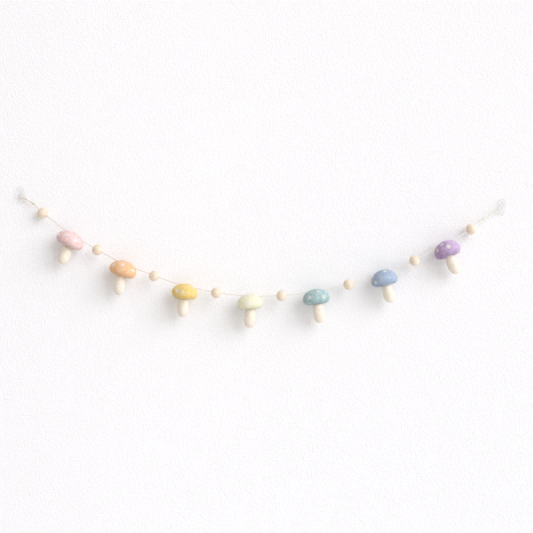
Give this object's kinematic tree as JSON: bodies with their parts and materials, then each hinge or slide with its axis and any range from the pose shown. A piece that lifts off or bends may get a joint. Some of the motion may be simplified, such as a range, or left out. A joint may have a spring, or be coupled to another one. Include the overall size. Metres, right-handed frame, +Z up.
{
  "type": "felt mushroom garland on two wall hooks",
  "caption": "Garland of needle-felted mushrooms and round wooden beads threaded on a thin string, looped over two small clear hooks.",
  "frame": {"origin": "middle of the left hook's flat back, on the wall plane", "axes": "+X along the wall to the right, towards the other hook, +Y into the wall, +Z up"},
  "size_m": [0.7405, 0.0388, 0.2128],
  "materials": {
    "felt_pink": "needle-felted wool",
    "felt_orange": "needle-felted wool",
    "felt_yellow": "needle-felted wool",
    "felt_lime": "needle-felted wool",
    "felt_aqua": "needle-felted wool",
    "felt_blue": "needle-felted wool",
    "felt_purple": "needle-felted wool",
    "felt_cream": "needle-felted wool",
    "bead_wood": "sanded, unvarnished",
    "string_cotton": "twisted, undyed",
    "hook_clear": "clear gloss"
  },
  "bodies": {
    "root": {"cap_pink": "felt_pink", "cap_orange": "felt_orange", "cap_yellow": "felt_yellow", "cap_lime": "felt_lime", "cap_aqua": "felt_aqua", "cap_blue": "felt_blue", "cap_purple": "felt_purple", "stem_pink": "felt_cream", "stem_orange": "felt_cream", "stem_yellow": "felt_cream", "stem_lime": "felt_cream", "stem_aqua": "felt_cream", "stem_blue": "felt_cream", "stem_purple": "felt_cream", "bead_1": "bead_wood", "bead_2": "bead_wood", "bead_3": "bead_wood", "bead_4": "bead_wood", "bead_5": "bead_wood", "bead_6": "bead_wood", "bead_7": "bead_wood", "bead_8": "bead_wood", "string": "string_cotton", "loop_left": "string_cotton", "loop_right": "string_cotton", "knot_left": "string_cotton", "knot_right": "string_cotton", "hook_left": "hook_clear", "hook_right": "hook_clear"}
  },
  "joints": []
}
